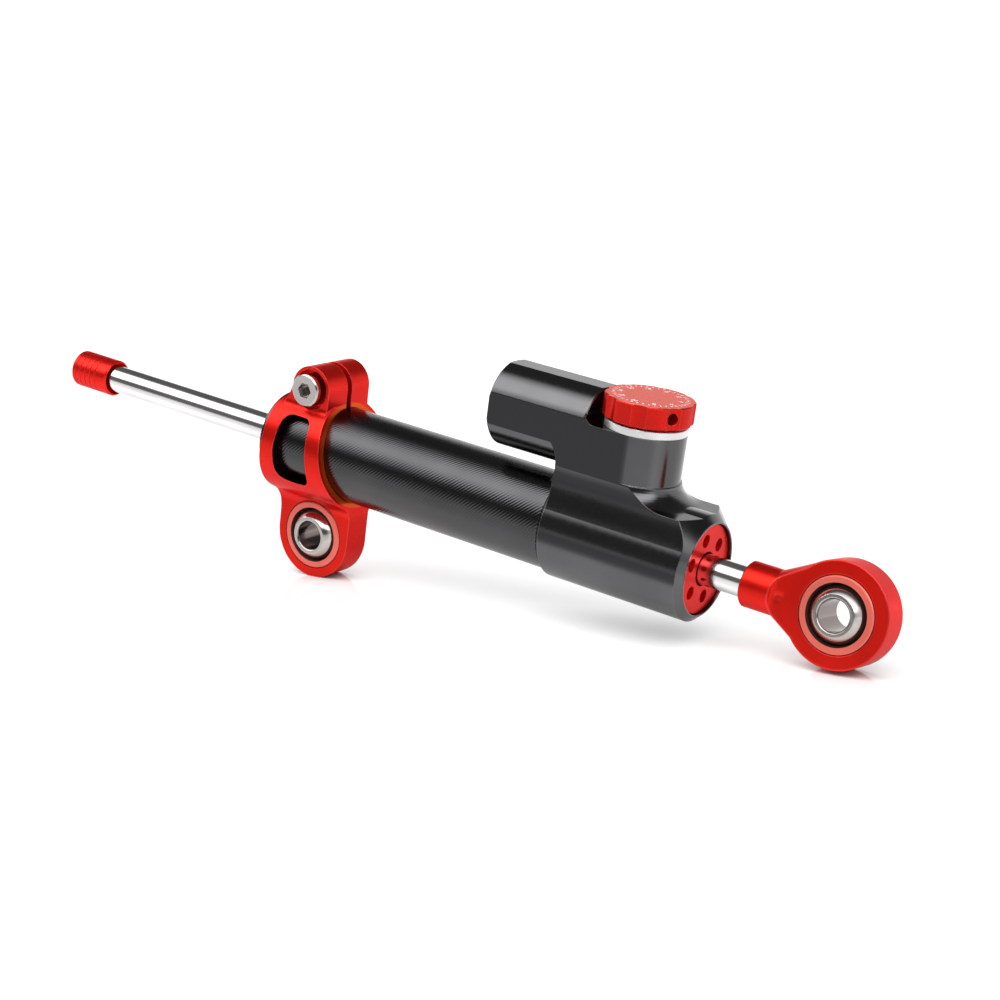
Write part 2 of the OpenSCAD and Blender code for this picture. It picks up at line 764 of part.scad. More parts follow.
module needle_valve() {
    color(steel) at_column(0) {
        translate([0, 0, tip_z]) rotate_extrude()
            polygon([[0, 0], [tip_r, 0], [needle_r, tip_h], [0, tip_h]]);
        translate([0, 0, tip_z + tip_h - eps])
            cylinder(h = needle_collar_z - tip_z - tip_h + 2 * eps, r = needle_r);
        translate([0, 0, needle_collar_z])
            cylinder(h = needle_collar_h, r = needle_bore_r - running_fit);
        translate([0, -key_w / 2 + running_fit, needle_collar_z])
            cube([needle_bore_r + 1 - 0.1, key_w - 2 * running_fit, needle_collar_h]);
        translate([0, 0, needle_collar_z])
            cylinder(h = spindle_floor - needle_collar_z + 3.6, r = needle_stem_r);
    }
}

module needle_seat() {
    color(brass_colour) at_column(seat_top - seat_h)
        sleeve(seat_h, seat_r - fixed_fit, orifice_r);
}

module detent_ball() {
    color(chrome) at_column(detent_ball_z) rotate(90) translate([ball_place_r, 0, 0])
        sphere(r = detent_ball_r);
}

module detent_spring() {
    spring_z = deck_z - detent_hole_depth;
    inner_r = detent_ball_r - 0.5;
    touch_z = detent_ball_z - sqrt(pow(detent_ball_r, 2) - pow(inner_r, 2));
    color(steel) at_column(spring_z) rotate(90) translate([ball_place_r, 0, 0])
        sleeve(touch_z - spring_z - side_gap, detent_ball_r - 0.15, inner_r);
}

// Rod assembly

module piston_rod() {
    tail = x_cap - cap_len + cap_wall_end;
    tip = x_neck + neck_hole_len - 0.5;
    color(chrome) stand() along_x(tail) difference() {
        chamfered_bar(tip - tail, rod_r, 0.4);
        for (x = [x_piston - 1, x_piston + piston_len])
            translate([0, 0, x - tail]) sleeve(1, rod_r + 1, rod_r - 0.5);
    }
}

module piston() {
    groove_at = (piston_len - piston_ring_w) / 2;
    color(steel) stand() along_x(x_piston) difference() {
        chamfered_bar(piston_len, piston_bore_r - 0.2, 0.5);
        translate([0, 0, -eps]) cylinder(h = piston_len + 1, r = rod_r + 0.02);
        translate([0, 0, groove_at]) sleeve(piston_ring_w, piston_bore_r + 1, piston_bore_r - 1.6);
    }
}

module piston_ring() {
    color(plastic_white) stand()
        along_x(x_piston + (piston_len - piston_ring_w) / 2 + side_gap)
        sleeve(piston_ring_w - 2 * side_gap, piston_bore_r - running_fit, piston_bore_r - 1.6 + 0.05);
}

module piston_circlips() {
    color(steel) stand() for (x = [x_piston - 1 + side_gap, x_piston + piston_len + side_gap])
        along_x(x) circlip(rod_r + 1.4, rod_r - 0.5 + 0.02, 1 - 2 * side_gap);
}

module rod_stop_cap() {
    pitch = (cap_len - 4.4) / cap_grooves;
    color(anodised_red) stand() along_x(x_cap - cap_len) difference() {
        chamfered_bar(cap_len, cap_d / 2, 0.6);
        translate([0, 0, cap_wall_end - 0.1]) cylinder(h = cap_len, r = rod_r + 0.02);
        translate([0, 0, cap_len - cap_recess]) cylinder(h = cap_len, r = cap_recess_d / 2);
        for (i = [0 : cap_grooves - 1]) translate([0, 0, 1.6 + i * pitch])
            sleeve(cap_groove_w, cap_d, cap_d / 2 - cap_groove_t);
    }
}

// Places a rod eye piece: its centre at the origin, the bore along Y
module at_rod_eye() {
    stand() translate([x_eye, 0, 0]) rotate([-rod_eye_turn, 0, 0]) children();
}

module rod_end() {
    rim_x = -rod_eye_r * sin(cone_tilt);
    rim_r = rod_eye_r * cos(cone_tilt);
    cone_x = rim_x - (rim_r - neck_r) / tan(cone_tilt);
    color(anodised_red) at_rod_eye() difference() {
        union() {
            difference() {
                rotate([0, 90, 0]) rotate_extrude() polygon([[0, -neck_len], [neck_r - 0.5, -neck_len],
                    [neck_r, -neck_len + 0.5], [neck_r, cone_x], [rim_r, rim_x], [0, rim_x]]);
                for (side = [-1, 1]) eye_flat(side);
            }
            across_y(-eye_half, eye_half) circle(r = rod_eye_r, $fn = 180);
        }
        rotate([90, 0, 0]) cylinder(h = 4 * eye_half, r = race_r + fixed_fit, center = true);
        translate([-neck_len - eps, 0, 0]) rotate([0, 90, 0])
            cylinder(h = neck_hole_len, r = rod_r + 0.02);
    }
}

// What the cutter takes off one side of the rod eye, with a round end at the neck
module eye_flat(side) {
    far = 3 * rod_eye_r;
    translate([-flat_start, side * (eye_half + far / 2), 0])
        translate([0, -far / 2, -far / 2]) cube([far, far, far]);
    translate([-flat_start, side * (eye_half + flat_fillet), 0])
        cylinder(h = far, r = flat_fillet, center = true);
}

module bearing_race() {
    chamfer_y = 3;
    seat = ball_r + seat_clear;
    rotate([90, 0, 0]) difference() {
        translate([0, 0, -race_w / 2]) chamfered_bar(race_w, race_r, 0.3);
        sphere(r = seat);
        for (side = [0, 1]) mirror([0, 0, side]) rotate_extrude() polygon([[0, chamfer_y],
            [sqrt(pow(seat, 2) - pow(chamfer_y, 2)), chamfer_y], [race_open_d / 2, race_w / 2],
            [race_open_d / 2, race_w], [0, race_w]]);
    }
}

module bearing_ball() {
    rotate([90, 0, 0]) difference() {
        intersection() {
            sphere(r = ball_r, $fn = 128);
            cylinder(h = ball_w, r = ball_r, center = true);
        }
        cylinder(h = 2 * ball_w, r = bore_r_ball, center = true);
        for (side = [0, 1]) mirror([0, 0, side]) translate([0, 0, ball_w / 2 - bore_chamfer])
            cylinder(h = bore_chamfer + eps, r1 = bore_r_ball, r2 = bore_r_ball + bore_chamfer + eps);
    }
}

module rod_end_race() { color(race_red) at_rod_eye() bearing_race(); }
module rod_end_ball() { color(steel) at_rod_eye() bearing_ball(); }
module clamp_race() { color(race_red) rotate([0, stand_tilt, 0]) bearing_race(); }
module clamp_ball() { color(steel) rotate([0, stand_tilt, 0]) bearing_ball(); }

// Clamp

// Outline of the ring and its eye, seen from the side
ring_outline = concat(
    rounded([[-9.5, ring_r + 1], [-11.2, 14.2], [-12.6, 11.6], [-12.5, 3], [-13.9, -13],
        [-clamp_eye_r, -eye_drop + 6], [-clamp_eye_r, -eye_drop]], [2, 3, 20, 14, 12]),
    arc([0, -eye_drop], clamp_eye_r, 180, 360, 60),
    rounded([[clamp_eye_r, -eye_drop], [clamp_eye_r, -eye_drop + 8], [11.6, -11.6], [9, -3.7],
        [6.7, 6], [4.9, 12.6], [4.3, ring_r + 1]], [8, 12, 30, 30, 10]));

// Outline of the ears, seen the same way, with their foot inside the ring
ears_outline = concat(
    rounded([[-8, 9], [-10.6, 12.2], [-9, 14.6], [ear_x - ear_r, ear_z]], [1, 4]),
    arc([ear_x, ear_z], ear_r, 180, 0, 40),
    rounded([[ear_x + ear_r, ear_z], [ear_x + ear_r, 13.6], [3.6, 9]], [2]));

// The window in each side of the ring, drawn the same way
window_outline = rounded([[-3, 10.1], [-7.6, 10.1], [-8.5, 0], [-8, -8.2], [-2, -8.7], [3.8, -8.2],
    [3.6, -3], [1.6, 10.1], [-3, 10.1]], [3.2, 15, 3.4, 30, 2.4, 15, 2.8]);

// Points on one side of the ring's outline seen along the rod, from its top round to
// the fillet and down to the foot of the eye
function ring_side() =
    let (eye_c = [eye_half + race_fillet,
            -sqrt(pow(ring_r + race_fillet, 2) - pow(eye_half + race_fillet, 2))],
        eye_a = atan2(eye_c[1], eye_c[0]))
    concat(arc([0, 0], ring_r, 89, eye_a, 72), arc(eye_c, race_fillet, 180 + eye_a, 180, 12),
        [[eye_half, -eye_drop - clamp_eye_r - 1]]);

// Points on one side of the ears' outline seen along the rod, from an ear's top down
// its fillet and into the ring
function ear_side(reach) =
    let (from = ring_r + ear_fillet - fillet_sink,
        ear_c = [reach + ear_fillet, sqrt(pow(from, 2) - pow(reach + ear_fillet, 2))],
        ear_a = atan2(ear_c[1], ear_c[0]))
    concat([[reach, ear_z + ear_r + 1]], arc(ear_c, ear_fillet, 180, 180 + ear_a, 10),
        [(ring_r - 1) * [cos(ear_a), sin(ear_a)]]);

// The same points on the other side, in the other order
function mirrored_back(points) = [for (i = [len(points) - 1 : -1 : 0]) [-points[i][0], points[i][1]]];

// A bar along the rod with the given outline
module clamp_bar(points) {
    translate([-2 * ring_r, 0, 0]) rotate([90, 0, 90]) linear_extrude(4 * ring_r) polygon(points);
}

module clamp() {
    color(anodised_red) stand() difference() {
        union() {
            intersection() {
                across_y(-2 * ring_r, 2 * ring_r) polygon(ring_outline);
                clamp_bar(concat(ring_side(), mirrored_back(ring_side())));
            }
            intersection() {
                across_y(-2 * ring_r, 2 * ring_r) polygon(ears_outline);
                clamp_bar(concat(ear_side(ear_rear), mirrored_back(ear_side(ear_front))));
            }
        }
        along_x(-2 * ring_r) cylinder(h = 4 * ring_r, r = ring_bore);
        // Split between the ears
        translate([-ring_r * 2, -split_w / 2, 0]) cube([4 * ring_r, split_w, 2 * ear_z]);
        // Windows in both sides of the ring
        across_y(-2 * ring_r, 2 * ring_r) polygon(window_outline);
        // Race bore, with a flat land round it
        translate([0, 0, -eye_drop]) rotate([90, 0, 0]) {
            cylinder(h = 4 * eye_half, r = race_r + fixed_fit, center = true);
            for (side = [0, 1]) mirror([0, 0, side]) translate([0, 0, eye_half + eps])
                cylinder(h = 2 * race_fillet, r = race_r + race_land);
        }
        // Screw hole, counterbore and thread
        translate([ear_x, 0, ear_z]) rotate([90, 0, 0]) {
            cylinder(h = 2 * ear_front, r = screw_d / 2 + 0.25);
            translate([0, 0, ear_floor]) cylinder(h = ear_front, r = counterbore_r);
            translate([0, 0, -2 * ear_rear]) cylinder(h = 2 * ear_rear + 1, r = screw_d / 2 + fixed_fit);
        }
    }
}

module clamp_screw() {
    color(chrome) stand() translate([ear_x, 0, ear_z]) rotate([90, 0, 0]) difference() {
        union() {
            translate([0, 0, ear_floor]) chamfered_bar(screw_head_h, screw_head_d / 2, 0.4);
            translate([0, 0, -ear_rear + 0.6]) cylinder(h = ear_floor + ear_rear, r = screw_d / 2);
        }
        translate([0, 0, ear_floor + screw_head_h - 3]) hex_socket(4, 4);
    }
}

damper_tube();
inner_liner();
liner_oring();
head_body();
head_oring();
front_gland();
front_bush();
front_rod_seal();
front_wiper();
front_gland_oring();
rear_gland();
rear_bush();
rear_rod_seal();
rear_wiper();
rear_gland_oring();
reservoir_plug();
plug_oring();
plug_circlip();
fill_screw();
floating_piston();
floating_piston_oring();
dial_ring();
adjuster_knob();
knob_set_screw();
adjuster_spindle();
spindle_oring();
spindle_circlip();
needle_valve();
needle_seat();
detent_ball();
detent_spring();
piston_rod();
piston();
piston_ring();
piston_circlips();
rod_stop_cap();
rod_end();
rod_end_race();
rod_end_ball();
clamp();
clamp_screw();
clamp_race();
clamp_ball();
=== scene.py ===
import json
import math

import bpy
from mathutils import Matrix, Vector


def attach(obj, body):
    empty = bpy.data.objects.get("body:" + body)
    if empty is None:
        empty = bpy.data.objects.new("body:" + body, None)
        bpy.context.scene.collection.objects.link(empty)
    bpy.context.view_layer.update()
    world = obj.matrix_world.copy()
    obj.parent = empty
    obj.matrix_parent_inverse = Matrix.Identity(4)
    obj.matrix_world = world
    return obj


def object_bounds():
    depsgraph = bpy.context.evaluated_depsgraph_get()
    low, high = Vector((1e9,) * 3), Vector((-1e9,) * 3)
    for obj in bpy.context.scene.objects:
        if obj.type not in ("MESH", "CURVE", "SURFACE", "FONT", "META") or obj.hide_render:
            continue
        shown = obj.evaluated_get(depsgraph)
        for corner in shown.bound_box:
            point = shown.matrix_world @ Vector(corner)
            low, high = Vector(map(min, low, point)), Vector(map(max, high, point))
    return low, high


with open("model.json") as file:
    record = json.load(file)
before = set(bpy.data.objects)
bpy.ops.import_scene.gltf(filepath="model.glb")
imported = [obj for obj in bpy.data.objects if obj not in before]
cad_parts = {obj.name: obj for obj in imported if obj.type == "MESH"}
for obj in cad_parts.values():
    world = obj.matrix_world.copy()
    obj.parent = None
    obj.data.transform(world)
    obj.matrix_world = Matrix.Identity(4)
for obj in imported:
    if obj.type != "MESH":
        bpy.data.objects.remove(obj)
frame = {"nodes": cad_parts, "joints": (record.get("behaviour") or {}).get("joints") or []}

# Motorcycle steering damper, as it stands on its two eyes on a white table.
# All lengths are in metres, in the row frame.
cad_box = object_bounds()
node = frame["nodes"]
joint = {j["name"]: j for j in frame["joints"]}
MM = 0.001

# The damper's own frame: its rod runs along X and its reservoir stands up Z.
# The clamp's bearing lies at the row's origin, this far under the rod.
eye_drop = 24.85 * MM
rod_axis = Vector(joint["rod_slide"]["axis"])
column_axis = Vector(joint["knob_turn"]["axis"])
damper = Matrix.Translation(column_axis * eye_drop) @ Matrix(
    (rod_axis, column_axis.cross(rod_axis), column_axis)).transposed().to_4x4()

# Camera
# It looks down a little at the front right, level, as in the photograph.
camera_azimuth = math.radians(34.74)
camera_elevation = math.radians(12.92)
camera_distance = 516.7 * MM
camera_target = Vector((55.3, 0.0, 11.55)) * MM
towards = Vector((
    math.cos(camera_elevation) * math.sin(camera_azimuth),
    -math.cos(camera_elevation) * math.cos(camera_azimuth),
    math.sin(camera_elevation)))
camera_data = bpy.data.cameras.new("camera")
camera_data.lens = 69.925
camera_data.sensor_width = 36.0
camera_data.shift_x = 0.01735
camera_data.shift_y = 0.01675
camera_data.clip_start = 0.01
camera = bpy.data.objects.new("camera", camera_data)
bpy.context.scene.collection.objects.link(camera)
camera.location = camera_target + towards * camera_distance
camera.rotation_euler = (math.pi / 2 - camera_elevation, 0.0, camera_azimuth)
bpy.context.scene.camera = camera
bpy.context.scene.view_settings.view_transform = "Standard"

# Light
# One long softbox hangs over the front of the table, and a white card stands low behind it.
# The dark between the two draws the bands along the black tube, as in the photograph. At both
# ends of the object the studio is plain and pale.
studio = bpy.data.worlds.new("studio")
bpy.context.scene.world = studio
studio.use_nodes = True
tree = studio.node_tree
lamp = tree.nodes["Background"]
lamp.inputs["Color"].default_value = (1.0, 1.0, 1.0, 1.0)
place = tree.nodes.new("ShaderNodeTexCoord")
split = tree.nodes.new("ShaderNodeSeparateXYZ")
tree.links.new(place.outputs["Generated"], split.inputs[0])
to_front = tree.nodes.new("ShaderNodeMath")
to_front.operation = "MULTIPLY"
to_front.inputs[1].default_value = -1.0
tree.links.new(split.outputs["Y"], to_front.inputs[0])
above = tree.nodes.new("ShaderNodeMath")
above.operation = "MAXIMUM"
above.inputs[1].default_value = 0.0
tree.links.new(split.outputs["Z"], above.inputs[0])
over = tree.nodes.new("ShaderNodeMath")
over.operation = "ARCTAN2"
tree.links.new(above.outputs[0], over.inputs[0])
tree.links.new(to_front.outputs[0], over.inputs[1])
turn = tree.nodes.new("ShaderNodeMapRange")
turn.inputs["From Max"].default_value = math.pi
tree.links.new(over.outputs[0], turn.inputs["Value"])
softbox = tree.nodes.new("ShaderNodeValToRGB")
tree.links.new(turn.outputs[0], softbox.inputs[0])
# Degrees over the front edge of the table, and how bright the studio is there
steps = ((0, 0.04), (32, 0.03), (38, 0.60), (46, 1.0), (70, 0.95), (82, 0.50), (92, 0.03),
         (149, 0.03), (157, 0.28), (166, 0.33), (180, 0.33))
ramp = softbox.color_ramp
for number, (degrees, level) in enumerate(steps):
    stop = ramp.elements[number] if number < 2 else ramp.elements.new(degrees / 180)
    stop.position = degrees / 180
    stop.color = (level, level, level, 1.0)
along = tree.nodes.new("ShaderNodeMath")
along.operation = "ABSOLUTE"
tree.links.new(split.outputs["X"], along.inputs[0])
ends = tree.nodes.new("ShaderNodeMapRange")
ends.inputs["From Min"].default_value = 0.84
ends.inputs["From Max"].default_value = 0.96
tree.links.new(along.outputs[0], ends.inputs["Value"])
power = tree.nodes.new("ShaderNodeMath")
power.operation = "MULTIPLY"
power.inputs[1].default_value = 3.4
tree.links.new(softbox.outputs["Color"], power.inputs[0])
spread = tree.nodes.new("ShaderNodeMix")
spread.inputs["B"].default_value = 1.0
tree.links.new(ends.outputs[0], spread.inputs["Factor"])
tree.links.new(power.outputs[0], spread.inputs["A"])
tree.links.new(spread.outputs["Result"], lamp.inputs["Strength"])

# Floor
# A glossy white table top under both eyes, which also glows white. Its soft contact shadows are partly
# real and partly painted shade in its glow, and it shows a faint reflection of the object.
floor_z = cad_box[0][2]
floor_reach = 40.0
floor_mesh = bpy.data.meshes.new("floor")
floor_mesh.from_pydata(
    [(-floor_reach, -floor_reach, floor_z), (floor_reach, -floor_reach, floor_z),
     (floor_reach, floor_reach, floor_z), (-floor_reach, floor_reach, floor_z)],
    [], [(0, 1, 2, 3)])
floor = bpy.data.objects.new("floor", floor_mesh)
bpy.context.scene.collection.objects.link(floor)
table_white = bpy.data.materials.new("table_white")
table_white.use_nodes = True
tree = table_white.node_tree
shader = tree.nodes["Principled BSDF"]
shader.inputs["Base Color"].default_value = (0.54, 0.54, 0.54, 1.0)
shader.inputs["Roughness"].default_value = 0.08
shader.inputs["Specular IOR Level"].default_value = 0.45
glow = tree.nodes.new("ShaderNodeEmission")
glow.inputs["Strength"].default_value = 0.52
# Close under a piece the table top's glow is darkened, a painted contact shadow
near = tree.nodes.new("ShaderNodeAmbientOcclusion")
near.samples = 12
near.inputs["Distance"].default_value = 17 * MM
painted_contact_shade = tree.nodes.new("ShaderNodeMapRange")
painted_contact_shade.inputs["From Min"].default_value = 0.15
painted_contact_shade.inputs["From Max"].default_value = 0.80
tree.links.new(near.outputs["AO"], painted_contact_shade.inputs["Value"])
tree.links.new(painted_contact_shade.outputs[0], glow.inputs["Color"])
both = tree.nodes.new("ShaderNodeAddShader")
tree.links.new(shader.outputs[0], both.inputs[0])
tree.links.new(glow.outputs[0], both.inputs[1])
tree.links.new(both.outputs[0], tree.nodes["Material Output"].inputs["Surface"])
floor_mesh.materials.append(table_white)

# Damper tube
# A drawn aluminium tube, turned outside and anodised black. It screws on to the head, and
# the tool has left fine marks that run slantwise round it.


def anodised(name, colour, metallic, roughness, rim=(1.0, 1.0, 1.0), grain=1500.0,
             depth=0.006, edge=0.25):
    """A metal finish with a fine grain, cloudy tone, and small rounded edges with a painted highlight.

    The grain's depth and the edges' radius are in millimetres.
    """
    made = bpy.data.materials.new(name)
    made.use_nodes = True
    tree = made.node_tree
    shader = tree.nodes["Principled BSDF"]
    shader.inputs["Metallic"].default_value = metallic
    shader.inputs["Specular Tint"].default_value = (*rim, 1.0)
    shader.inputs["Coat Weight"].default_value = 0.0 if rim[1] == 1.0 else 0.12
    shader.inputs["Coat Roughness"].default_value = 0.14
    place = tree.nodes.new("ShaderNodeTexCoord")
    place.name = "place"
    fine = tree.nodes.new("ShaderNodeTexNoise")
    fine.inputs["Scale"].default_value = grain
    fine.inputs["Detail"].default_value = 3.0
    tree.links.new(place.outputs["Object"], fine.inputs["Vector"])
    cloud = tree.nodes.new("ShaderNodeTexNoise")
    cloud.inputs["Scale"].default_value = 70.0
    cloud.inputs["Detail"].default_value = 2.0
    tree.links.new(place.outputs["Object"], cloud.inputs["Vector"])
    tone = tree.nodes.new("ShaderNodeValToRGB")
    tone.color_ramp.elements[0].position = 0.3
    tone.color_ramp.elements[0].color = (*(0.90 * c for c in colour), 1.0)
    tone.color_ramp.elements[1].position = 0.7
    tone.color_ramp.elements[1].color = (*(1.06 * c for c in colour), 1.0)
    tree.links.new(cloud.outputs[0], tone.inputs[0])
    sheen = tree.nodes.new("ShaderNodeMapRange")
    sheen.name = "sheen"
    sheen.inputs["From Min"].default_value = 0.3
    sheen.inputs["From Max"].default_value = 0.7
    sheen.inputs["To Min"].default_value = roughness * 0.88
    sheen.inputs["To Max"].default_value = roughness * 1.12
    tree.links.new(fine.outputs[0], sheen.inputs["Value"])
    tree.links.new(sheen.outputs[0], shader.inputs["Roughness"])
    corner = tree.nodes.new("ShaderNodeBevel")
    corner.samples = 6
    corner.inputs["Radius"].default_value = edge * MM
    bump = tree.nodes.new("ShaderNodeBump")
    bump.name = "grain"
    bump.inputs["Strength"].default_value = 1.0
    bump.inputs["Distance"].default_value = depth * MM
    tree.links.new(corner.outputs[0], bump.inputs["Normal"])
    tree.links.new(fine.outputs[0], bump.inputs["Height"])
    tree.links.new(bump.outputs[0], shader.inputs["Normal"])
    # Where the rounded corner leaves the surface's own direction, the colour is painted a little
    # lighter: a painted edge highlight
    flat = tree.nodes.new("ShaderNodeNewGeometry")
    lean = tree.nodes.new("ShaderNodeVectorMath")
    lean.operation = "DOT_PRODUCT"
    tree.links.new(corner.outputs[0], lean.inputs[0])
    tree.links.new(flat.outputs["Normal"], lean.inputs[1])
    painted_edge_highlight = tree.nodes.new("ShaderNodeMapRange")
    painted_edge_highlight.inputs["From Min"].default_value = 0.995
    painted_edge_highlight.inputs["From Max"].default_value = 0.85
    painted_edge_highlight.inputs["To Max"].default_value = 0.45
    tree.links.new(lean.outputs["Value"], painted_edge_highlight.inputs["Value"])
    blend = tree.nodes.new("ShaderNodeMix")
    blend.name = "painted_edge_highlight"
    blend.data_type = "RGBA"
    blend.inputs[7].default_value = (*(min(1.0, 1.5 * c + 0.12) for c in colour), 1.0)
    tree.links.new(painted_edge_highlight.outputs[0], blend.inputs[0])
    tree.links.new(tone.outputs[0], blend.inputs[6])
    tree.links.new(blend.outputs[2], shader.inputs["Base Color"])
    return made


def axis_place(made, axis_frame):
    """The place along the X axis of a frame, and the distance from that axis."""
    tree = made.node_tree
    back = axis_frame.inverted()
    settle = tree.nodes.new("ShaderNodeMapping")
    settle.inputs["Location"].default_value = back.translation
    settle.inputs["Rotation"].default_value = back.to_euler()
    tree.links.new(tree.nodes["place"].outputs["Object"], settle.inputs[0])
    parts = tree.nodes.new("ShaderNodeSeparateXYZ")
    tree.links.new(settle.outputs[0], parts.inputs[0])
    off_axis = tree.nodes.new("ShaderNodeCombineXYZ")
    tree.links.new(parts.outputs["Y"], off_axis.inputs["Y"])
    tree.links.new(parts.outputs["Z"], off_axis.inputs["Z"])
    radius = tree.nodes.new("ShaderNodeVectorMath")
    radius.operation = "LENGTH"
    tree.links.new(off_axis.outputs[0], radius.inputs[0])
    return parts, radius


def lathe_marks(made, axis_frame, spacing, depth):
    """Fine turning marks round the X axis of a frame, on the sides and on the end faces.

    Their spacing and depth are in millimetres.
    """
    tree = made.node_tree
    parts, radius = axis_place(made, axis_frame)
    travel = tree.nodes.new("ShaderNodeMath")
    travel.operation = "ADD"
    tree.links.new(parts.outputs["X"], travel.inputs[0])
    tree.links.new(radius.outputs["Value"], travel.inputs[1])
    marks = tree.nodes.new("ShaderNodeTexNoise")
    marks.noise_dimensions = "1D"
    marks.inputs["Scale"].default_value = 1.0 / (spacing * MM)
    marks.inputs["Detail"].default_value = 2.0
    tree.links.new(travel.outputs[0], marks.inputs["W"])
    cut = tree.nodes.new("ShaderNodeBump")
    cut.name = "cut"
    cut.inputs["Strength"].default_value = 1.0
    cut.inputs["Distance"].default_value = depth * MM
    tree.links.new(marks.outputs[0], cut.inputs["Height"])
    tree.links.new(tree.nodes["grain"].outputs[0], cut.inputs["Normal"])
    tree.links.new(cut.outputs[0], tree.nodes["Principled BSDF"].inputs["Normal"])
    return parts, radius, cut


def dress(material, *names):
    """Gives a finish to CAD nodes."""
    for name in names:
        mesh = node[name].data
        mesh.materials.clear()
        mesh.materials.append(material)


BLACK = (0.072, 0.072, 0.074)
tube_black = anodised("tube_black", BLACK, 1.0, 0.19, depth=0.004)
parts, radius, cut = lathe_marks(tube_black, damper, 0.30, 0.004)
tree = tube_black.node_tree
round_tube = tree.nodes.new("ShaderNodeMath")
round_tube.operation = "ARCTAN2"
tree.links.new(parts.outputs["Z"], round_tube.inputs[0])
tree.links.new(parts.outputs["Y"], round_tube.inputs[1])
unrolled = tree.nodes.new("ShaderNodeMath")
unrolled.operation = "MULTIPLY"
tree.links.new(round_tube.outputs[0], unrolled.inputs[0])
tree.links.new(radius.outputs["Value"], unrolled.inputs[1])
skin = tree.nodes.new("ShaderNodeCombineXYZ")
tree.links.new(parts.outputs["X"], skin.inputs["X"])
tree.links.new(unrolled.outputs[0], skin.inputs["Y"])
slant = tree.nodes.new("ShaderNodeTexWave")
slant.bands_direction = "DIAGONAL"
slant.inputs["Scale"].default_value = 600.0
slant.inputs["Distortion"].default_value = 0.4
tree.links.new(skin.outputs[0], slant.inputs["Vector"])
hatch = tree.nodes.new("ShaderNodeBump")
hatch.inputs["Strength"].default_value = 1.0
hatch.inputs["Distance"].default_value = 0.026 * MM
tree.links.new(slant.outputs["Fac"], hatch.inputs["Height"])
tree.links.new(cut.outputs[0], hatch.inputs["Normal"])
tree.links.new(hatch.outputs[0], tree.nodes["Principled BSDF"].inputs["Normal"])
dress(tube_black, "damper_tube")

# Head
# One milled aluminium block, anodised black: round nose, waist, column and reservoir.
# The tube, the front gland, the adjuster and the reservoir's plug all go into it.
head_black = anodised("head_black", (0.105, 0.105, 0.108), 1.0, 0.17,
                      grain=900.0, depth=0.005, edge=0.35)
# The flats on both sides are painted darker than the turned nose, a painted shade
tree = head_black.node_tree
sideways = tree.nodes.new("ShaderNodeVectorMath")
sideways.operation = "DOT_PRODUCT"
sideways.inputs[1].default_value = column_axis.cross(rod_axis)
tree.links.new(tree.nodes["place"].outputs["Normal"], sideways.inputs[0])
either = tree.nodes.new("ShaderNodeMath")
either.operation = "ABSOLUTE"
tree.links.new(sideways.outputs["Value"], either.inputs[0])
flats = tree.nodes.new("ShaderNodeMapRange")
flats.inputs["From Min"].default_value = 0.988
flats.inputs["From Max"].default_value = 0.999
tree.links.new(either.outputs[0], flats.inputs["Value"])
painted_flank_shade = tree.nodes.new("ShaderNodeMix")
painted_flank_shade.data_type = "RGBA"
painted_flank_shade.inputs[7].default_value = (0.042, 0.042, 0.044, 1.0)
tree.links.new(flats.outputs[0], painted_flank_shade.inputs[0])
tree.links.new(tree.nodes["painted_edge_highlight"].outputs[2], painted_flank_shade.inputs[6])
tree.links.new(painted_flank_shade.outputs[2], tree.nodes["Principled BSDF"].inputs["Base Color"])
dress(head_black, "head_body")

# Front gland
# A red anodised aluminium bush with six pin-spanner holes. It screws into the head's nose,
# centres the rod, and carries its bush, seal and wiper.
RED = (0.70, 0.012, 0.006)
RED_RIM = (1.0, 0.18, 0.14)
gland_red = anodised("gland_red", RED, 0.65, 0.36, RED_RIM, depth=0.004, edge=0.2)
lathe_marks(gland_red, damper, 0.25, 0.003)
dress(gland_red, "front_gland")

# Rear gland
# The same bush at the tube's far end, anodised black.
gland_black = anodised("gland_black", BLACK, 1.0, 0.24, depth=0.004, edge=0.2)
lathe_marks(gland_black, damper, 0.25, 0.003)
dress(gland_black, "rear_gland")

# Piston rod
# A ground steel rod, hard chromed and polished. It runs right through the damper.
rod_chrome = anodised("rod_chrome", (0.80, 0.79, 0.78), 1.0, 0.14, grain=2500.0, depth=0.0008, edge=0.2)
lathe_marks(rod_chrome, damper, 0.15, 0.0006)
dress(rod_chrome, "piston_rod")

# Rod stop cap
# A red anodised cap with turned grooves, screwed to the rod's tail as its end stop.
cap_red = anodised("cap_red", (0.80, 0.014, 0.007), 0.75, 0.32, RED_RIM, depth=0.004, edge=0.2)
lathe_marks(cap_red, damper, 0.25, 0.003)
dress(cap_red, "rod_stop_cap")

# Rod end
# A red anodised eye with a turned neck, screwed to the rod's front end. Its face carries a
# fine dark line where the bearing's race is pressed in.


def along_axis(place, axis):
    """A frame at a place, with its X axis along a direction."""
    turned = Vector((1, 0, 0)).rotation_difference(Vector(axis)).to_matrix().to_4x4()
    return Matrix.Translation(Vector(place)) @ turned


def between(tree, socket, low, high, soft):
    """A mask that is 1 where a length lies between two values, with soft ends, in millimetres."""
    rise = tree.nodes.new("ShaderNodeMapRange")
    rise.inputs["From Min"].default_value = (low - soft) * MM
    rise.inputs["From Max"].default_value = low * MM
    tree.links.new(socket, rise.inputs["Value"])
    fall = tree.nodes.new("ShaderNodeMapRange")
    fall.inputs["From Min"].default_value = high * MM
    fall.inputs["From Max"].default_value = (high + soft) * MM
    fall.inputs["To Min"].default_value = 1.0
    fall.inputs["To Max"].default_value = 0.0
    tree.links.new(socket, fall.inputs["Value"])
    both = tree.nodes.new("ShaderNodeMath")
    both.operation = "MULTIPLY"
    tree.links.new(rise.outputs[0], both.inputs[0])
    tree.links.new(fall.outputs[0], both.inputs[1])
    return both.outputs[0]


